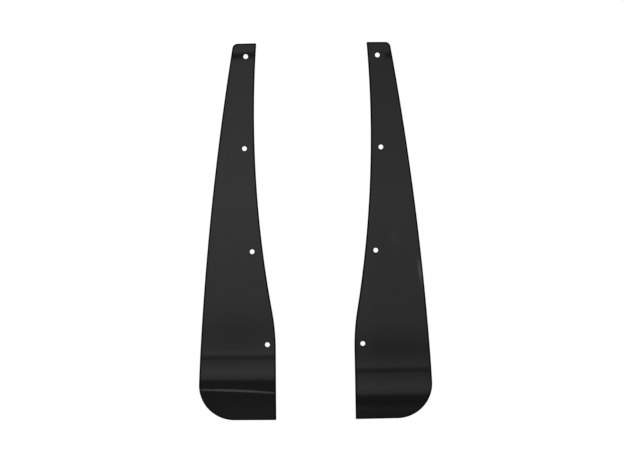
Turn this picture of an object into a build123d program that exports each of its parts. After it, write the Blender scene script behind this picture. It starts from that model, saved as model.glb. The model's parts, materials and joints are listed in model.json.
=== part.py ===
from build123d import *
import os
from math import cos, radians, sin

# A pair of mud flaps: two loose, handed sheets, each the mirror image of the other.
# Millimetres. The polished faces look towards -Y and the flat mounting faces lie in the
# plane Y = 0. +Z is up, and +X is to the right for someone facing the polished faces.
# The origin is the centre of the left flap's top screw hole, on its mounting face.
# A flap is drawn from its own inner bottom corner: local X runs outward and local Y up.

# Sheet
thickness = 3.0
rim_radius = 1.0
flap_height = 521.6

# Inner edge: straight, then a hip that swings outward, then a long hollow waist to the top
inner_edge_height = 97.6
hip_radius = 305.0
hip_turn = 10.2
top_inset = 25.2
inner_corner_radius = 1.5

# Top edge and outer edge
top_width = 32.0
top_drop = 0.6
top_corner_radius = 7.3
bottom_width = 108.5
outer_bulge_radius = 4050.0
bottom_corner_radius = 48.6

# The free lower end curls away from the polished face, below the bottom screw hole
curl_height = 97.0
curl_radius = 450.0
curl_turn = 14.0

# Holes for M6 screws, from the top down, measured from the inner bottom corner
hole_radius = 3.3
hole_centres = [(39.9, 503.4), (42.1, 376.3), (32.1, 233.9), (11.6, 105.4)]

# How the pair hangs: the gap between the inner bottom corners, and each top's lean inward
corner_gap = 110.2
lean_angle = 0.46

# How deep the front view is cut each way, and how far the side view runs past the outline
cut_depth = 30.0
overrun = 20.0

# The top hole's place from the inner bottom corner, once the flap leans
lean_cos = cos(radians(lean_angle))
lean_sin = sin(radians(lean_angle))
top_hole_out, top_hole_up = hole_centres[0]
hole_reach = top_hole_out * lean_cos - top_hole_up * lean_sin
hole_rise = top_hole_out * lean_sin + top_hole_up * lean_cos

# Planes of the right flap's front and side views, and the plane midway between the flaps
middle = corner_gap / 2 + hole_reach
inner_corner = Vector(middle + corner_gap / 2, 0, -hole_rise)
outward = Vector(lean_cos, 0, lean_sin)
front_view = Plane(origin=inner_corner, x_dir=outward, z_dir=(0, -1, 0))
side_view = Plane(origin=inner_corner - outward * overrun, x_dir=(0, 1, 0), z_dir=outward)
midway = Plane.YZ.offset(middle)

with BuildPart() as right_flap:
    # The front view: the outline of the sheet, with its four corners rounded
    with BuildSketch(front_view) as outline:
        with BuildLine():
            inner_edge = Line((0, 0), (0, inner_edge_height))
            hip = JernArc(inner_edge @ 1, inner_edge % 1, hip_radius, -hip_turn)
            waist = TangentArc(hip @ 1, (top_inset, flap_height), tangent=hip % 1)
            top_edge = Line(waist @ 1, (top_inset + top_width, flap_height - top_drop))
            outer_edge = RadiusArc(top_edge @ 1, (bottom_width, 0), outer_bulge_radius)
            Line(outer_edge @ 1, inner_edge @ 0)
        make_face()
        inner_corners = [(0, 0), (top_inset, flap_height)]
        for corner in inner_corners:
            fillet(outline.vertices().sort_by_distance(corner)[0], inner_corner_radius)
        fillet(outline.vertices().sort_by_distance(top_edge @ 1)[0], top_corner_radius)
        fillet(outline.vertices().sort_by_distance(outer_edge @ 1)[0], bottom_corner_radius)
    extrude(amount=cut_depth, both=True)

    # The side view: a flat sheet whose lower end curls back on an arc
    with BuildSketch(side_view):
        with BuildLine():
            back = Line((0, flap_height + overrun), (0, curl_height))
            back_curl = JernArc(back @ 1, back % 1, curl_radius, curl_turn)
            front = Line((-thickness, flap_height + overrun), (-thickness, curl_height))
            front_curl = JernArc(front @ 1, front % 1, curl_radius + thickness, curl_turn)
            Line(back @ 0, front @ 0)
            Line(back_curl @ 1, front_curl @ 1)
        make_face()
    extrude(amount=bottom_width + 2 * overrun, mode=Mode.INTERSECT)

    # Both rims are eased all round; the two longest straight edges are the smooth bend lines
    bends = right_flap.edges().filter_by(GeomType.LINE).sort_by(SortBy.LENGTH)[-2:]
    rims = right_flap.edges().filter_by(lambda edge: edge.length > 1.2 * thickness) - bends
    fillet(rims, rim_radius)

    # The screw holes, square to the flat of the sheet
    with BuildSketch(front_view):
        with Locations(*hole_centres):
            Circle(hole_radius)
    extrude(amount=thickness, mode=Mode.SUBTRACT)

with BuildPart() as left_flap:
    mirror(right_flap.part, about=midway)

right_flap.part.label = "right_flap"
left_flap.part.label = "left_flap"

os.makedirs("parts", exist_ok=True)
export_step(left_flap.part, "parts/left_flap.step")
export_step(right_flap.part, "parts/right_flap.step")
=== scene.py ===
import json
import math

import bpy
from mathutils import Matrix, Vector, geometry, noise


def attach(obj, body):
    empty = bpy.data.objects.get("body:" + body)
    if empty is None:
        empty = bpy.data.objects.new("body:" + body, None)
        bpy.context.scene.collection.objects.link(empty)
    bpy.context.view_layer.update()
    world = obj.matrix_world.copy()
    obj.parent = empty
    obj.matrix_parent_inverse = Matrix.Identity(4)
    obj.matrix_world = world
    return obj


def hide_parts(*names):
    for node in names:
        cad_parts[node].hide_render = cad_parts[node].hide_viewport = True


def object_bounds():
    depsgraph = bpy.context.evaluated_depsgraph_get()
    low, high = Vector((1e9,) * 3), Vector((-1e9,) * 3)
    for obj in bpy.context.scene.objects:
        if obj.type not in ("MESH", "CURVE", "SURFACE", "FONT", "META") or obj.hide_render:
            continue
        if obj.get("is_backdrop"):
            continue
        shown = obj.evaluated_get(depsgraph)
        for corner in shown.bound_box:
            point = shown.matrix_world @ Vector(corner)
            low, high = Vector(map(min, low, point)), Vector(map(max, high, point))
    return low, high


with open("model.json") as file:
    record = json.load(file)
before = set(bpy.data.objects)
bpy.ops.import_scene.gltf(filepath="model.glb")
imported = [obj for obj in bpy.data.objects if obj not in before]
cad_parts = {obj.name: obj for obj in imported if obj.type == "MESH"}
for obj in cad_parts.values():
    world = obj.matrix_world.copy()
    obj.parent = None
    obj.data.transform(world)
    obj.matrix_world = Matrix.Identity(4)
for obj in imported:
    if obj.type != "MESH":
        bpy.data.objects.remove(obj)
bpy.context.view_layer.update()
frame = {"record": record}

# A pair of mud flaps: two loose, handed sheets of glossy black plastic, each the mirror
# image of the other. The polished faces look towards -Y, the flat mounting faces lie in the
# plane Y = 0, and +Z is up. Everything is in metres.

# ---------------------------------------------------------------------------------------
# Driving dimensions of one flap. A flap is drawn from its own inner bottom corner: u runs
# outward, v runs up, and d is the depth in front of the mounting face.
# ---------------------------------------------------------------------------------------
MM = 0.001

# Sheet
THICKNESS = 3.0 * MM
RIM_RADIUS = 1.0 * MM
FLAP_HEIGHT = 521.6 * MM

# Inner edge: straight, then a hip that swings outward, then a long hollow waist to the top
INNER_EDGE_HEIGHT = 97.6 * MM
HIP_RADIUS = 305.0 * MM
HIP_TURN = math.radians(10.2)
TOP_INSET = 25.2 * MM
INNER_CORNER_RADIUS = 1.5 * MM

# Top edge and outer edge
TOP_WIDTH = 32.0 * MM
TOP_DROP = 0.6 * MM
TOP_CORNER_RADIUS = 7.3 * MM
BOTTOM_WIDTH = 108.5 * MM
OUTER_BULGE_RADIUS = 4050.0 * MM
BOTTOM_CORNER_RADIUS = 48.6 * MM

# The free lower end curls away from the polished face
CURL_HEIGHT = 97.0 * MM
CURL_RADIUS = 450.0 * MM

# Each top's lean inward, and the top hole's place from the inner bottom corner
LEAN = math.radians(0.46)
TOP_HOLE_OUT = 39.9 * MM
TOP_HOLE_UP = 503.4 * MM

# Finer than the CAD model: how wide the polished rim rolls over, how far the rims of the
# holes are eased, and the faint waviness of thin moulded sheet
RIM_ROLL = 1.8 * MM
HOLE_EASE = 0.8 * MM
WAVE_HEIGHT = 0.03 * MM
WAVE_PITCH = 140.0 * MM
LEFT_WAVE_SEED = 3.7
RIGHT_WAVE_SEED = 8.2

# Mesh detail along the outline, over each rim, round the tight corners and round the holes
OUTLINE_STEP = 3.0 * MM
FEWEST_ON_ARC = 8
EDGE_SEGMENTS = 5
TIGHT_SEGMENTS = 8
TINY_ROUND = 0.2 * MM
HOLE_POINTS = 56

# A narrow flat strip round each face, which keeps the shading of the rims off the face
SUPPORT = 0.3 * MM

# The grid of points that fills the faces, and the kind of triangulation: of the whole hull
# of the points, from which what lies outside the sheet is left out
GRID_STEP = 4.0 * MM
GRID_OFF_BORDER = 0.55 * GRID_STEP
GRID_OFF_HOLES = 0.4 * GRID_STEP
WHOLE_HULL = 0
MERGE_WITHIN = 1e-9

# The materials of a flap, in the order of its material slots
FACE, RIM, WALL, BACK = 0, 1, 2, 3

LEFT, RIGHT = -1, 1
HOLE_NAMES = ("bottom_hole", "lower_hole", "upper_hole", "top_hole")
LEAN_OUT = Vector((math.cos(LEAN), math.sin(LEAN)))
LEAN_UP = Vector((-math.sin(LEAN), math.cos(LEAN)))

mounts = {mount["name"]: mount for mount in frame["record"]["mounts"]}


def hole_mount(side, name):
    return mounts[("right_" if side == RIGHT else "left_") + name]


def corner_place(side):
    """The inner bottom corner of one flap, on its mounting face, from its top hole."""
    top = Vector(hole_mount(side, "top_hole")["pos_m"])
    run = TOP_HOLE_OUT * math.cos(LEAN) - TOP_HOLE_UP * math.sin(LEAN)
    rise = TOP_HOLE_OUT * math.sin(LEAN) + TOP_HOLE_UP * math.cos(LEAN)
    return Vector((top.x - side * run, 0.0, top.z - rise))


def screw_holes(side):
    """(centre, radius) of each screw hole of one flap, in the flap's own u and v."""
    corner = corner_place(side)
    holes = []
    for name in HOLE_NAMES:
        mount = hole_mount(side, name)
        place = Vector(mount["pos_m"])
        across = Vector((side * (place.x - corner.x), place.z - corner.z))
        centre = Vector((across.dot(LEAN_OUT), across.dot(LEAN_UP)))
        holes.append((centre, mount["dims"]["r_mm"] * MM))
    return holes


def put_in_scene(name, data):
    thing = bpy.data.objects.new(name, data)
    bpy.context.scene.collection.objects.link(thing)
    return thing


# ---------------------------------------------------------------------------------------
# The outline, anticlockwise, as (point, pull) pairs. A point less its pull times a distance
# lies that far inside the edge, so the pull is the outward normal, except in a tight corner.
# ---------------------------------------------------------------------------------------
def ray_at(angle):
    return Vector((math.cos(angle), math.sin(angle)))


def angle_of(vector):
    return math.atan2(vector.y, vector.x)


def straight(start, end):
    """A line without its last point. The sheet lies to its left."""
    along = (end - start).normalized()
    normal = Vector((along.y, -along.x))
    count = max(2, round((end - start).length / OUTLINE_STEP))
    return [(start.lerp(end, i / count), normal.copy()) for i in range(count)]


def arc(centre, radius, first, last, facing=1.0):
    """An arc without its last point. facing is -1 where the sheet lies outside the arc."""
    count = max(FEWEST_ON_ARC, round(abs(last - first) * radius / OUTLINE_STEP))
    rays = [ray_at(first + (last - first) * i / count) for i in range(count)]
    return [(centre + ray * radius, ray * facing) for ray in rays]


def tight_round(centre, radius, first, last):
    """A corner round smaller than the rim is wide, with both its ends. Inside the rim it
    shrinks to TINY_ROUND, so that the rings round the sheet never cross there."""
    ends = [ray_at(first), ray_at(last)]
    further = RIM_ROLL + SUPPORT + TINY_ROUND - radius
    shift = -(ends[0] + ends[1]) * further / (1 + ends[0].dot(ends[1]))
    points = []
    for i in range(TIGHT_SEGMENTS + 1):
        ray = ray_at(first + (last - first) * i / TIGHT_SEGMENTS)
        pull = (ray * (radius - TINY_ROUND) - shift) / (RIM_ROLL + SUPPORT)
        points.append((centre + ray * radius, pull))
    return points


def corner_centre(start, along, inward, arc_centre, reach, size, near):
    """Centre of a corner round: size inside a line, and reach away from an arc's centre."""
    base = start + inward * size - arc_centre
    half = base.dot(along)
    root = math.sqrt(half * half - base.dot(base) + reach * reach)
    options = [start + inward * size + along * t for t in (-half - root, -half + root)]
    return min(options, key=lambda option: (option - near).length)


def flap_outline():
    right = Vector((1.0, 0.0))
    up = Vector((0.0, 1.0))
    bottom_inner = Vector((0.0, 0.0))
    bottom_outer = Vector((BOTTOM_WIDTH, 0.0))
    top_outer = Vector((TOP_INSET + TOP_WIDTH, FLAP_HEIGHT - TOP_DROP))
    top_inner = Vector((TOP_INSET, FLAP_HEIGHT))

    # Centres of the outer edge's bulge, the hip and the waist
    chord = bottom_outer - top_outer
    sink = math.sqrt(OUTER_BULGE_RADIUS ** 2 - (chord.length / 2) ** 2)
    aside = Vector((chord.y, -chord.x)).normalized()
    bulge = (bottom_outer + top_outer) / 2 + aside * sink
    hip = Vector((HIP_RADIUS, INNER_EDGE_HEIGHT))
    away = Vector((-math.cos(HIP_TURN), math.sin(HIP_TURN)))
    hip_end = hip + away * HIP_RADIUS
    reach = top_inner - hip_end
    waist_radius = reach.length_squared / (2 * away.dot(reach))
    waist = hip_end + away * waist_radius

    # Centres of the corner rounds
    top_along = (top_inner - top_outer).normalized()
    top_inward = Vector((-top_along.y, top_along.x))
    bottom_round = corner_centre(bottom_inner, right, up, bulge,
                                 OUTER_BULGE_RADIUS - BOTTOM_CORNER_RADIUS,
                                 BOTTOM_CORNER_RADIUS, bottom_outer)
    top_round = corner_centre(top_outer, top_along, top_inward, bulge,
                              OUTER_BULGE_RADIUS - TOP_CORNER_RADIUS,
                              TOP_CORNER_RADIUS, top_outer)
    waist_round = corner_centre(top_outer, top_along, top_inward, waist,
                                waist_radius + INNER_CORNER_RADIUS,
                                INNER_CORNER_RADIUS, top_inner)
    inner_round = Vector((INNER_CORNER_RADIUS, INNER_CORNER_RADIUS))

    # Directions of the joins, seen from the centres of the arcs that meet there
    top_normal = angle_of(-top_inward)
    down = -math.pi / 2
    to_bottom = angle_of(bottom_round - bulge)
    to_top = angle_of(top_round - bulge)
    from_waist = angle_of(waist_round - waist)

    # A tight round has both its ends, so the run after it leaves out its first point
    points = []
    points += straight(Vector((inner_round.x, 0)), Vector((bottom_round.x, 0)))[1:]
    points += arc(bottom_round, BOTTOM_CORNER_RADIUS, down, to_bottom)
    points += arc(bulge, OUTER_BULGE_RADIUS, to_bottom, to_top)
    points += arc(top_round, TOP_CORNER_RADIUS, to_top, top_normal)
    points += straight(top_round - top_inward * TOP_CORNER_RADIUS,
                       waist_round - top_inward * INNER_CORNER_RADIUS)
    points += tight_round(waist_round, INNER_CORNER_RADIUS, top_normal, from_waist + math.pi)
    points += arc(waist, waist_radius, from_waist, -HIP_TURN, facing=-1.0)[1:]
    points += arc(hip, HIP_RADIUS, math.pi - HIP_TURN, math.pi)
    points += straight(Vector((0, INNER_EDGE_HEIGHT)), Vector((0, inner_round.y)))
    points += tight_round(inner_round, INNER_CORNER_RADIUS, math.pi, 1.5 * math.pi)
    return points


def hole_outline(centre, radius):
    """A hole's rim, clockwise, with pulls that point into the hole."""
    rays = [ray_at(-2 * math.pi * i / HOLE_POINTS) for i in range(HOLE_POINTS)]
    return [(centre + ray * radius, -ray) for ray in rays]


def edge_profile(roll, ease):
    """(inset, depth) pairs from the polished face, round both rims, to the mounting face.
    Both rims are ease deep; the polished one rolls over a wider roll."""
    turns = [math.pi / 2 * i / EDGE_SEGMENTS for i in range(EDGE_SEGMENTS + 1)]
    front = [(roll * (1 - math.sin(t)), THICKNESS - ease * (1 - math.cos(t))) for t in turns]
    back = [(ease * (1 - math.sin(t)), ease * (1 - math.cos(t))) for t in reversed(turns)]
    return [(roll + SUPPORT, THICKNESS)] + front + back + [(roll + SUPPORT, 0.0)]


# ---------------------------------------------------------------------------------------
# The sheet
# ---------------------------------------------------------------------------------------
def sheet_depth(u, v, d, wave_seed):
    """Y of a point of the sheet, which is flat above CURL_HEIGHT and curls back below it."""
    wave = WAVE_HEIGHT * noise.noise(Vector((u / WAVE_PITCH, v / WAVE_PITCH, wave_seed)))
    if v >= CURL_HEIGHT:
        return wave - d
    return wave + CURL_RADIUS - math.sqrt((CURL_RADIUS + d) ** 2 - (CURL_HEIGHT - v) ** 2)


def inside(point, loop):
    """Whether a point is inside a loop: a ray to its right crosses it an odd number of times."""
    hit = False
    for a, b in zip(loop, loop[1:] + loop[:1]):
        if (a.y > point.y) != (b.y > point.y):
            if point.x < a.x + (point.y - a.y) * (b.x - a.x) / (b.y - a.y):
                hit = not hit
    return hit


def in_hole(point, holes, margin):
    """Whether a point lies in a hole, on its eased rim, or within a margin of them."""
    taken = HOLE_EASE + SUPPORT + margin
    return any((point - centre).length < radius + taken for centre, radius in holes)


def grid_points(border, holes):
    """Points of a square grid inside the border, clear of it and of the holes."""
    columns = int(BOTTOM_WIDTH / GRID_STEP) + 2
    rows = int(FLAP_HEIGHT / GRID_STEP) + 1
    grid = []
    for row in range(1, rows):
        for column in range(columns):
            point = Vector((column * GRID_STEP, row * GRID_STEP))
            if not inside(point, border):
                continue
            if min((point - edge).length for edge in border) < GRID_OFF_BORDER:
                continue
            if not in_hole(point, holes, GRID_OFF_HOLES):
                grid.append(point)
    return grid


class FlapMesh:
    """The points and faces of one flap. side is RIGHT, or LEFT for its mirror image."""

    def __init__(self, side, wave_seed):
        self.side = side
        self.wave_seed = wave_seed
        self.corner = corner_place(side)
        self.points = []
        self.faces = []
        self.looks = []

    def add_point(self, u, v, d):
        flat = LEAN_OUT * u + LEAN_UP * v
        self.points.append((self.corner.x + self.side * flat.x,
                            sheet_depth(u, v, d, self.wave_seed),
                            self.corner.z + flat.y))
        return len(self.points) - 1

    def add_face(self, corners, look):
        self.faces.append(corners if self.side == RIGHT else corners[::-1])
        self.looks.append(look)

    def add_edge(self, loop, profile):
        """The rims and the wall between them, round the outline or a hole. Returns the
        rings of points that border the polished face and the mounting face."""
        rings = []
        for inset, depth in profile:
            rings.append([self.add_point(*(point - pull * inset), depth) for point, pull in loop])
        last = len(rings) - 2
        for k, (upper, lower) in enumerate(zip(rings, rings[1:])):
            # The flat strip and the rolled rim take the rim's material, darkened as painted shade
            if k <= EDGE_SEGMENTS:
                look = RIM
            else:
                look = BACK if k == last else WALL
            for i in range(len(loop)):
                j = (i + 1) % len(loop)
                self.add_face((upper[i], lower[i], lower[j], upper[j]), look)
        return rings[0], rings[-1]

    def fill_faces(self, loops, front, back, holes):
        """Fills both faces inside their edges, with one triangulation. loops are the borders
        as drawn, and front and back are the same points, in one row, on each face."""
        border = loops[0]
        fixed = []
        edges = []
        for loop in loops:
            start, count = len(fixed), len(loop)
            edges += [(start + i, start + (i + 1) % count) for i in range(count)]
            fixed += loop
        flat_points, _, triangles, origins, _, _ = geometry.delaunay_2d_cdt(
            fixed + grid_points(border, holes), edges, [], WHOLE_HULL, MERGE_WITHIN, True)

        on_front = []
        on_back = []
        for point, origin in zip(flat_points, origins):
            known = [index for index in origin if index < len(fixed)]
            if known:
                on_front.append(front[known[0]])
                on_back.append(back[known[0]])
            else:
                on_front.append(self.add_point(point.x, point.y, THICKNESS))
                on_back.append(self.add_point(point.x, point.y, 0.0))

        for a, b, c in triangles:
            middle = (flat_points[a] + flat_points[b] + flat_points[c]) / 3
            if inside(middle, border) and not in_hole(middle, holes, margin=0.0):
                self.add_face((on_front[a], on_front[b], on_front[c]), FACE)
                self.add_face((on_back[c], on_back[b], on_back[a]), BACK)

    def finished(self, name, materials):
        mesh = bpy.data.meshes.new(name)
        mesh.from_pydata(self.points, [], self.faces)
        for material in materials:
            mesh.materials.append(material)
        mesh.polygons.foreach_set("material_index", self.looks)
        mesh.shade_smooth()
        mesh.validate()
        mesh.update()
        return put_in_scene(name, mesh)


def build_flap(name, side, wave_seed, materials):
    flap = FlapMesh(side, wave_seed)
    holes = screw_holes(side)
    edges = [(flap_outline(), edge_profile(RIM_ROLL, RIM_RADIUS))]
    for centre, radius in holes:
        edges.append((hole_outline(centre, radius), edge_profile(HOLE_EASE, HOLE_EASE)))
    loops = []
    front = []
    back = []
    for loop, profile in edges:
        first, last = flap.add_edge(loop, profile)
        front += first
        back += last
        inset = profile[0][0]
        loops.append([point - pull * inset for point, pull in loop])
    flap.fill_faces(loops, front, back, holes)
    return flap.finished(name, materials)


# ---------------------------------------------------------------------------------------
# Shader nodes
# ---------------------------------------------------------------------------------------
class Nodes:
    """Adds and joins the nodes of one material or world."""

    def __init__(self, owner):
        owner.use_nodes = True
        self.tree = owner.node_tree

    def feed(self, socket, value):
        """Joins another node's output to a socket, or sets the socket to a constant."""
        if isinstance(value, bpy.types.NodeSocket):
            self.tree.links.new(value, socket)
        else:
            socket.default_value = value

    def add(self, kind, sockets=None, **settings):
        node = self.tree.nodes.new(kind)
        for key, value in settings.items():
            setattr(node, key, value)
        for name, value in (sockets or {}).items():
            self.feed(node.inputs[name], value)
        return node

    def maths(self, operation, a, b):
        """a and b are each an output or a number."""
        return self.add("ShaderNodeMath", {0: a, 1: b}, operation=operation).outputs["Value"]

    def ranged(self, value, span, to_span, kind="LINEAR"):
        """Maps the span of a value onto another span, and holds it level beyond the ends."""
        low, high = span
        to_low, to_high = to_span
        node = self.add("ShaderNodeMapRange", {
            "Value": value, "From Min": low, "From Max": high,
            "To Min": to_low, "To Max": to_high}, interpolation_type=kind)
        return node.outputs["Result"]

    def eased(self, value, span, to_span=(0.0, 1.0)):
        return self.ranged(value, span, to_span, "SMOOTHSTEP")

    def grey_ramp(self, value, stops):
        """A colour ramp of grey stops, as (place, level)."""
        node = self.add("ShaderNodeValToRGB", {"Fac": value})
        elements = node.color_ramp.elements
        while len(elements) > 1:
            elements.remove(elements[-1])
        for index, (spot, level) in enumerate(stops):
            element = elements[0] if index == 0 else elements.new(spot)
            element.position = spot
            element.color = (level, level, level, 1.0)
        return node.outputs["Color"]

    def ball(self, vector):
        """1 at the origin of the given coordinates, falling to 0 at a distance of 1."""
        node = self.add("ShaderNodeTexGradient", {"Vector": vector}, gradient_type="SPHERICAL")
        return node.outputs["Fac"]


class Surface(Nodes):
    """A solid material, whose patterns are laid out in the piece's own coordinates."""

    def __init__(self, name):
        self.material = bpy.data.materials.new(name)
        super().__init__(self.material)
        self.shader = self.tree.nodes["Principled BSDF"]
        self.place = self.add("ShaderNodeTexCoord").outputs["Object"]

    def set(self, name, value):
        self.feed(self.shader.inputs[name], value)

    def noise(self, scale, detail, roughness=0.5, vector=None):
        node = self.add("ShaderNodeTexNoise", {
            "Vector": vector or self.place, "Scale": scale,
            "Detail": detail, "Roughness": roughness})
        return node.outputs["Fac"]

    def streaks(self, scale, detail, roughness, turn=(0.0, 0.0, 0.0)):
        """Noise with its own scale along each axis."""
        node = self.add("ShaderNodeMapping", {
            "Vector": self.place, "Rotation": turn, "Scale": scale})
        return self.noise(1.0, detail, roughness, vector=node.outputs["Vector"])

    def cells(self, scale):
        node = self.add("ShaderNodeTexVoronoi", {"Vector": self.place, "Scale": scale})
        return node.outputs["Distance"]

    def mixed(self, factor, a, b):
        """A blend of two colours, each an output or three numbers."""
        a, b = ((*colour, 1.0) if isinstance(colour, tuple) else colour for colour in (a, b))
        node = self.add("ShaderNodeMix", {"Factor": factor, "A": a, "B": b}, data_type="RGBA")
        return node.outputs["Result"]

    def blot(self, out, up, half_across, half_up, turn):
        """A soft round mark on the right flap's polished face: 1 at its middle, 0 at its rim."""
        corner = corner_place(RIGHT)
        node = self.add("ShaderNodeMapping", {
            "Vector": self.place, "Location": (corner.x + out, -THICKNESS, corner.z + up),
            "Rotation": (0.0, turn, 0.0), "Scale": (half_across, half_up, half_up)},
            vector_type="TEXTURE")
        return self.ball(node.outputs["Vector"])

    def bump(self, height, strength, distance):
        node = self.add("ShaderNodeBump", {
            "Height": height, "Strength": strength, "Distance": distance})
        self.set("Normal", node.outputs["Normal"])


# ---------------------------------------------------------------------------------------
# Materials. Most of a noise's values lie in NOISE_SPAN. Scales are in waves per metre.
# ---------------------------------------------------------------------------------------
NOISE_SPAN = (0.3, 0.7)
FINE_BUMP = 0.1 * MM
PLASTIC_IOR = 1.5

# Polished face: its gloss, hairline rub marks and dust
HAZE_ROUGHNESS = (0.028, 0.048)
HAIRLINES = (900.0, 900.0, 22.0)
HAIRLINE_TURN = (0.0, 0.5, 0.0)
HAIRLINE_SPAN = (0.66, 0.74)
HAIRLINE_ROUGHNESS = (0.0, 0.06)
SPECK_SPAN = (0.022, 0.034)
DUSTY_SPAN = (0.50, 0.56)
DUST_ROUGHNESS = 0.5
DUST_COLOUR = (0.08, 0.078, 0.074)
GLOSS_BLACK = (0.0026, 0.0026, 0.0027)
GLOSS_BLACK_PALER = (0.0034, 0.0034, 0.0035)

# Its two faint marks on the right flap: a soft smudge, and a painted highlight, a lighter
# streak along the outer edge. Their middles are placed out and up from that flap's inner
# bottom corner.
SMUDGE = {"out": 56.2 * MM, "up": 251.3 * MM, "half_across": 10.5 * MM, "half_up": 12.5 * MM,
          "turn": 0.0}
SMUDGE_COLOUR = (0.0085, 0.0084, 0.0083)
PAINTED_EDGE_GLINT = {"out": 91.1 * MM, "up": 204.0 * MM, "half_across": 3.6 * MM, "half_up": 24.0 * MM,
         "turn": math.radians(-8.0)}
PAINTED_EDGE_GLINT_COLOUR = (0.037, 0.0366, 0.036)

# Rolled rim (darker than the face, as painted shade), side wall and grained back
RIM_GRAIN = (1800.0, 250.0, 1800.0)
RIM_ROUGHNESS = (0.5, 0.7)
# Darker than the face's black: painted shade for the dark line round the edges and holes
RIM_SHADED_BLACK = (0.0008, 0.0008, 0.0008)
RIM_SHADED_BLACK_PALER = (0.0016, 0.0016, 0.0016)
RIM_SPECULAR = 0.03
WALL_GRAIN = (1400.0, 1400.0, 260.0)
WALL_ROUGHNESS = (0.32, 0.48)
WALL_BLACK = (0.0024, 0.0024, 0.0025)
WALL_BLACK_PALER = (0.0046, 0.0046, 0.0048)
WALL_SPECULAR = 0.22
BACK_CELLS = 620.0
BACK_DRIFT = 900.0
BACK_BUMP = 0.12 * MM
BACK_ROUGHNESS = (0.36, 0.46)
BACK_BLACK = (0.006, 0.006, 0.0063)
BACK_BLACK_PALER = (0.009, 0.009, 0.0094)


def polished_face():
    """Gloss black sheet: faint handling haze, hairline rub marks and a few specks of dust."""
    surface = Surface("polished_face")
    haze = surface.noise(scale=14.0, detail=4.0, roughness=0.55)
    hazy = surface.ranged(haze, NOISE_SPAN, HAZE_ROUGHNESS)
    hairlines = surface.streaks(HAIRLINES, detail=2.0, roughness=0.5, turn=HAIRLINE_TURN)
    rubbed = surface.ranged(hairlines, HAIRLINE_SPAN, HAIRLINE_ROUGHNESS)
    speck = surface.ranged(surface.cells(scale=120.0), SPECK_SPAN, (1.0, 0.0))
    dusty = surface.ranged(surface.noise(scale=30.0, detail=2.0), DUSTY_SPAN, (0.0, 1.0))
    dust = surface.maths("MULTIPLY", speck, dusty)
    rough = surface.maths("ADD", hazy, rubbed)
    rough = surface.maths("ADD", rough, surface.maths("MULTIPLY", dust, DUST_ROUGHNESS))
    surface.set("Roughness", rough)
    patches = surface.noise(scale=6.0, detail=3.0)
    black = surface.mixed(patches, GLOSS_BLACK, GLOSS_BLACK_PALER)
    smudged = surface.mixed(surface.blot(**SMUDGE), black, SMUDGE_COLOUR)
    # Painted highlight: a lighter streak along the right flap's outer edge stands in for an edge
    # glint
    glint_painted = surface.mixed(surface.blot(**PAINTED_EDGE_GLINT), smudged, PAINTED_EDGE_GLINT_COLOUR)
    surface.set("Base Color", surface.mixed(dust, glint_painted, DUST_COLOUR))
    surface.bump(surface.noise(scale=320.0, detail=2.0), strength=0.04, distance=FINE_BUMP)
    surface.set("IOR", PLASTIC_IOR)
    return surface.material


def cut_grain(name, scale, roughness, black, paler, specular):
    """Black plastic with fine grain along a cut or rolled edge."""
    surface = Surface(name)
    grain = surface.streaks(scale, detail=3.0, roughness=0.6)
    surface.set("Roughness", surface.ranged(grain, NOISE_SPAN, roughness))
    surface.set("Base Color", surface.mixed(grain, black, paler))
    surface.bump(grain, strength=0.2, distance=FINE_BUMP)
    surface.set("Specular IOR Level", specular)
    return surface.material


def eased_rim():
    """The rolled rim of the polished face and round its holes: matt, darkened as painted shade.
    """
    return cut_grain("eased_rim", RIM_GRAIN, RIM_ROUGHNESS, RIM_SHADED_BLACK, RIM_SHADED_BLACK_PALER,
                     RIM_SPECULAR)


def side_wall():
    """The sheet's edge, the walls of its holes and the back rims: satin."""
    return cut_grain("side_wall", WALL_GRAIN, WALL_ROUGHNESS, WALL_BLACK, WALL_BLACK_PALER,
                     WALL_SPECULAR)


def grained_back():
    """The mounting face: satin, with a fine moulded leather grain."""
    surface = Surface("grained_back")
    drift = surface.noise(BACK_DRIFT, detail=3.0, roughness=0.6)
    grain = surface.maths("ADD", surface.cells(BACK_CELLS), drift)
    surface.bump(grain, strength=0.35, distance=BACK_BUMP)
    patches = surface.noise(scale=9.0, detail=4.0)
    surface.set("Roughness", surface.ranged(patches, NOISE_SPAN, BACK_ROUGHNESS))
    surface.set("Base Color", surface.mixed(drift, BACK_BLACK, BACK_BLACK_PALER))
    surface.set("IOR", PLASTIC_IOR)
    return surface.material


plastic = [polished_face(), eased_rim(), side_wall(), grained_back()]
left_flap = build_flap("left_flap_sheet", LEFT, LEFT_WAVE_SEED, plastic)
right_flap = build_flap("right_flap_sheet", RIGHT, RIGHT_WAVE_SEED, plastic)
for flap, node in ((left_flap, "left_flap"), (right_flap, "right_flap")):
    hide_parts(node)
    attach(flap, node)

# ---------------------------------------------------------------------------------------
# Studio
# ---------------------------------------------------------------------------------------
low, high = (Vector(corner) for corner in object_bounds())
centre = (low + high) / 2
left_corner = corner_place(LEFT)
right_corner = corner_place(RIGHT)
middle_x = (left_corner.x + right_corner.x) / 2

# The floor: how far it lies below the flaps, half its width, and a pale surface that glows
# faintly, like a sweep lit from all round
FLOOR_DROP = 0.6
FLOOR_HALF = 3.5
FLOOR_WHITE = (0.86, 0.86, 0.86)
FLOOR_WHITE_PALER = (0.90, 0.90, 0.90)
FLOOR_ROUGHNESS = 0.9
FLOOR_GLOW = 0.4

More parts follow.
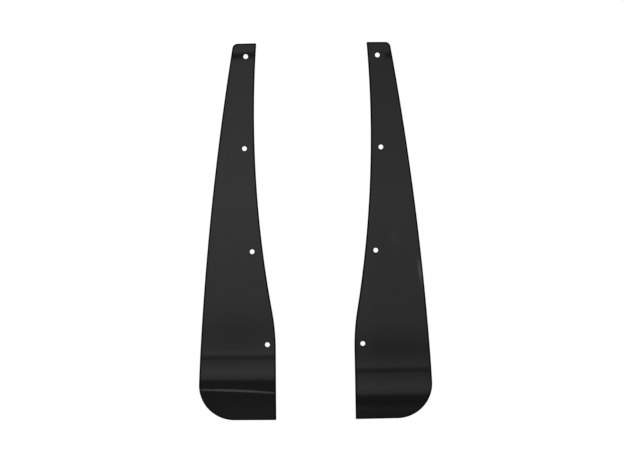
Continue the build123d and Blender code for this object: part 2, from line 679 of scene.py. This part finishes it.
# Two graded cards, seen only by the gloss, stand in a plane in front of the flaps, one for
# each flap. A card fades out towards its outer, lower and upper edges, so that no hard edge
# shows in the gloss. Heights are above the flaps' inner bottom corners, and places across
# are outward from the plane midway between the flaps.
CARD_AWAY = 0.8
CARD_REACH = 0.50
CARD_LOW = -0.90
CARD_HIGH = 1.10
CARD_SOLID = 0.26
CARD_FADE = 0.35

# The share of light added near the middle plane is full as far out as LIFT_FULL, and gone
# at LIFT_NONE
LIFT_FULL = 0.092
LIFT_NONE = 0.125

# Each card's brightness as (height, level) stops, one soft dip in it, and that added share
LEFT_STOPS = [
    (-0.80, 0.60), (-0.48, 0.20), (-0.30, 0.14), (-0.184, 0.135), (-0.171, 0.22),
    (-0.157, 0.54), (-0.11, 0.69), (-0.032, 0.46), (-0.021, 0.30), (-0.008, 0.26),
    (0.018, 0.68), (0.115, 0.62), (0.33, 0.83), (0.46, 0.74), (0.62, 0.68), (1.00, 0.30)]
LEFT_DIP = {"across": 0.15, "height": 0.066, "half_width": 0.19, "half_height": 0.062,
            "loss": 0.3}
LEFT_LIFT = 0.0
RIGHT_STOPS = [
    (-0.80, 0.60), (-0.47, 0.13), (-0.445, 0.135), (-0.412, 0.185), (-0.385, 0.115),
    (-0.36, 0.085), (-0.305, 0.12), (-0.28, 0.45), (-0.235, 0.58), (-0.135, 0.37),
    (-0.119, 0.19), (-0.102, 0.25), (-0.083, 0.52), (-0.03, 0.40), (0.11, 0.54),
    (0.32, 0.65), (0.56, 0.52), (0.62, 0.52), (1.00, 0.28)]
RIGHT_DIP = {"across": 0.155, "height": 0.03, "half_width": 0.16, "half_height": 0.07,
             "loss": 0.34}
RIGHT_LIFT = 0.12

# Small dark cards, a little nearer to the flaps. inner and outer are places across, bottom
# and top are heights, and slope is the rise of a card for each metre to the right.
DARK_NEARER = 0.002
LEFT_DARK_STRIP = {"inner": 0.04, "outer": CARD_SOLID, "bottom": 0.5942, "top": 0.6056,
                   "level": 0.16, "slope": 0.063}
RIGHT_DARK_PATCH = {"inner": 0.1425, "outer": 0.178, "bottom": 0.5940, "top": 0.6048,
                    "level": 0.09, "slope": 0.0}

# Narrow arched strips of light, nearer still. Each starts level on its left and falls by
# sag to its right end, and its width tapers to a share of STRIP_END at both ends.
STRIP_NEARER = 0.004
STRIP_STEPS = 24
STRIP_END = 0.45
STRIP_BEND = 2.1
LEFT_BRIGHT_STRIP = {"inner": 0.07, "outer": 0.235, "height": -0.2405, "sag": 0.032,
                     "width": 0.016, "level": 1.25}
RIGHT_FAINT_STRIP = {"inner": 0.06, "outer": 0.12, "height": -0.390, "sag": 0.03,
                     "width": 0.02, "level": 0.25}

# The room round the set, for light and gloss: its level by the upward part of a direction,
# from straight down at -1 to straight up at 1
ROOM_STOPS = [
    (-1.0, 0.16), (-0.86, 0.9), (-0.62, 1.5), (-0.47, 0.95), (-0.28, 0.18), (-0.12, 0.15),
    (0.22, 0.26), (0.50, 0.90), (1.0, 1.30)]

# A wide softbox above the flaps and a small one behind them, with their powers in watts
TOP_SOFTBOX_ABOVE = 1.6
TOP_SOFTBOX_SIDE = 5.0
TOP_SOFTBOX_POWER = 120.0
REAR_SOFTBOX_PLACE = Vector((0.9, 1.4, 0.1))
REAR_SOFTBOX_SIDE = 1.0
REAR_SOFTBOX_POWER = 5.0


def staged_mesh(name, points, faces, material):
    mesh = bpy.data.meshes.new(name)
    mesh.from_pydata(points, [], faces)
    mesh.materials.append(material)
    piece = put_in_scene(name, mesh)
    piece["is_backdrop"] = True
    return piece


def floor_material():
    surface = Surface("studio_floor")
    patches = surface.noise(scale=3.0, detail=3.0)
    surface.set("Base Color", surface.mixed(patches, FLOOR_WHITE, FLOOR_WHITE_PALER))
    surface.set("Roughness", FLOOR_ROUGHNESS)
    surface.set("Emission Color", (1.0, 1.0, 1.0, 1.0))
    surface.set("Emission Strength", FLOOR_GLOW)
    return surface.material


def build_floor():
    left, right = centre.x - FLOOR_HALF, centre.x + FLOOR_HALF
    level = low.z - FLOOR_DROP
    corners = [(left, -FLOOR_HALF, level), (right, -FLOOR_HALF, level),
               (right, FLOOR_HALF, level), (left, FLOOR_HALF, level)]
    floor = staged_mesh("studio_floor", corners, [(0, 1, 2, 3)], floor_material())
    floor.visible_glossy = False


def emptied(owner):
    """Nodes of a material or world, with nothing in it yet."""
    nodes = Nodes(owner)
    nodes.tree.nodes.clear()
    return nodes


def graded_light(name, side, stops, dip, lift):
    """The light of one graded card, faded out towards its outer, lower and upper edges.
    Generated coordinates run from 0 to 1 over the card, from left to right in X and from
    CARD_LOW to CARD_HIGH in Z."""
    material = bpy.data.materials.new(name)
    nodes = emptied(material)
    height = CARD_HIGH - CARD_LOW
    inner = 0.0 if side == RIGHT else 1.0
    outer = 1.0 - inner
    place = nodes.add("ShaderNodeTexCoord").outputs["Generated"]
    split = nodes.add("ShaderNodeSeparateXYZ", {"Vector": place}).outputs
    ramp = nodes.grey_ramp(split["Z"], [((z - CARD_LOW) / height, level) for z, level in stops])

    half_width, half_height = dip["half_width"], dip["half_height"]
    spread = nodes.add("ShaderNodeMapping", {
        "Vector": place,
        "Scale": (CARD_REACH / half_width, 0.0, height / half_height),
        "Location": (-(inner * CARD_REACH + side * dip["across"]) / half_width, 0.0,
                     -(dip["height"] - CARD_LOW) / half_height)})
    depth = nodes.ball(spread.outputs["Vector"])
    dimmed = nodes.eased(depth, (0.0, 1.0), (1.0, 1.0 - dip["loss"]))
    lift_span = [inner + side * across / CARD_REACH for across in (LIFT_FULL, LIFT_NONE)]
    lifted = nodes.eased(split["X"], lift_span, (1.0 + lift, 1.0))
    level = nodes.maths("MULTIPLY", ramp, nodes.maths("MULTIPLY", dimmed, lifted))
    light = nodes.add("ShaderNodeEmission", {"Strength": level})

    fade = CARD_FADE / height
    solid = inner + side * CARD_SOLID / CARD_REACH
    there = nodes.maths("MULTIPLY", nodes.eased(split["Z"], (0.0, fade)),
                        nodes.eased(split["Z"], (1.0, 1.0 - fade)))
    there = nodes.maths("MULTIPLY", nodes.eased(split["X"], (outer, solid)), there)
    clear = nodes.add("ShaderNodeBsdfTransparent")
    blend = nodes.add("ShaderNodeMixShader", {
        "Fac": there, 1: clear.outputs["BSDF"], 2: light.outputs["Emission"]})
    nodes.add("ShaderNodeOutputMaterial", {"Surface": blend.outputs["Shader"]})
    return material


def steady_light(name, level):
    material = bpy.data.materials.new(name)
    nodes = emptied(material)
    light = nodes.add("ShaderNodeEmission", {"Strength": level})
    nodes.add("ShaderNodeOutputMaterial", {"Surface": light.outputs["Emission"]})
    return material


def gloss_only(panel):
    panel.visible_camera = False
    panel.visible_diffuse = False
    panel.visible_shadow = False
    panel.visible_transmission = False


def across_span(side, inner, outer):
    """X of the left and right ends of a card on one side of the middle plane."""
    return sorted((middle_x + side * inner, middle_x + side * outer))


def flat_card(name, side, inner, outer, bottom, top, material, slope=0.0, nearer=0.0):
    left, right = across_span(side, inner, outer)
    y = nearer - CARD_AWAY
    z = left_corner.z
    rise = slope * (right - left) / 2
    corners = [(left, y, z + bottom - rise), (right, y, z + bottom + rise),
               (right, y, z + top + rise), (left, y, z + top - rise)]
    gloss_only(staged_mesh(name, corners, [(0, 1, 2, 3)], material))


def graded_card(name, side, stops, dip, lift):
    flat_card(name, side, 0.0, CARD_REACH, CARD_LOW, CARD_HIGH,
              graded_light(name + "_light", side, stops, dip, lift))


def dark_card(name, side, inner, outer, bottom, top, level, slope):
    flat_card(name, side, inner, outer, bottom, top, steady_light(name, level),
              slope=slope, nearer=DARK_NEARER)


def arched_strip(name, side, inner, outer, height, sag, width, level):
    left, right = across_span(side, inner, outer)
    y = STRIP_NEARER - CARD_AWAY
    upper = []
    lower = []
    for i in range(STRIP_STEPS + 1):
        along = i / STRIP_STEPS
        half = width / 2 * (STRIP_END + (1 - STRIP_END) * math.sin(math.pi * along))
        x = left + (right - left) * along
        z = left_corner.z + height - sag * along ** STRIP_BEND
        upper.append((x, y, z + half))
        lower.append((x, y, z - half))
    below = len(upper)
    quads = [(i, i + 1, below + i + 1, below + i) for i in range(STRIP_STEPS)]
    gloss_only(staged_mesh(name, upper + lower, quads, steady_light(name, level)))


def build_world():
    """White behind everything that the camera sees. For light and gloss, a pale room that is
    bright overhead and over most of its floor, but dim at its walls and straight below."""
    world = bpy.data.worlds.new("studio_world")
    bpy.context.scene.world = world
    nodes = emptied(world)
    toward = nodes.add("ShaderNodeTexCoord").outputs["Generated"]
    upward = nodes.add("ShaderNodeSeparateXYZ", {"Vector": toward}).outputs["Z"]
    spot = nodes.ranged(upward, (-1.0, 1.0), (0.0, 1.0))
    room = nodes.grey_ramp(spot, [((height + 1) / 2, level) for height, level in ROOM_STOPS])
    around = nodes.add("ShaderNodeBackground", {"Color": room})
    seen = nodes.add("ShaderNodeBackground", {"Color": (1.0, 1.0, 1.0, 1.0)})
    from_camera = nodes.add("ShaderNodeLightPath").outputs["Is Camera Ray"]
    choose = nodes.add("ShaderNodeMixShader", {
        "Fac": from_camera, 1: around.outputs["Background"], 2: seen.outputs["Background"]})
    nodes.add("ShaderNodeOutputWorld", {"Surface": choose.outputs["Shader"]})


def softbox(name, place, side, power, in_gloss):
    """A square area light aimed at the middle of the pair."""
    data = bpy.data.lights.new(name, "AREA")
    data.size = side
    data.energy = power
    lamp = put_in_scene(name, data)
    lamp.location = place
    lamp.rotation_euler = (place - centre).to_track_quat("Z", "Y").to_euler()
    lamp.visible_camera = False
    lamp.visible_glossy = in_gloss


build_floor()
graded_card("left_card", LEFT, LEFT_STOPS, LEFT_DIP, LEFT_LIFT)
graded_card("right_card", RIGHT, RIGHT_STOPS, RIGHT_DIP, RIGHT_LIFT)
dark_card("left_dark_strip", LEFT, **LEFT_DARK_STRIP)
arched_strip("left_bright_strip", LEFT, **LEFT_BRIGHT_STRIP)
arched_strip("right_faint_strip", RIGHT, **RIGHT_FAINT_STRIP)
dark_card("right_dark_patch", RIGHT, **RIGHT_DARK_PATCH)
build_world()
softbox("top_softbox", Vector((centre.x, centre.y, high.z + TOP_SOFTBOX_ABOVE)),
        TOP_SOFTBOX_SIDE, TOP_SOFTBOX_POWER, in_gloss=False)
softbox("rear_softbox", centre + REAR_SOFTBOX_PLACE, REAR_SOFTBOX_SIDE, REAR_SOFTBOX_POWER,
        in_gloss=True)

# ---------------------------------------------------------------------------------------
# Camera: straight in front of the polished faces, rolled a little and barely off the middle
# ---------------------------------------------------------------------------------------
LENS_MM = 85.0
FILM_WIDTH_MM = 36.0
CAMERA_AWAY = 2.033
CAMERA_ROLL = math.radians(0.71)
CAMERA_ASIDE = -0.0024
CAMERA_LIFT = -0.0033

camera_data = bpy.data.cameras.new("camera")
camera_data.lens = LENS_MM
camera_data.sensor_width = FILM_WIDTH_MM
camera = put_in_scene("camera", camera_data)
camera.location = (centre.x + CAMERA_ASIDE, -THICKNESS - CAMERA_AWAY, centre.z + CAMERA_LIFT)
camera.rotation_euler = (math.pi / 2, CAMERA_ROLL, 0.0)
bpy.context.scene.camera = camera
bpy.context.scene.view_settings.view_transform = "Standard"
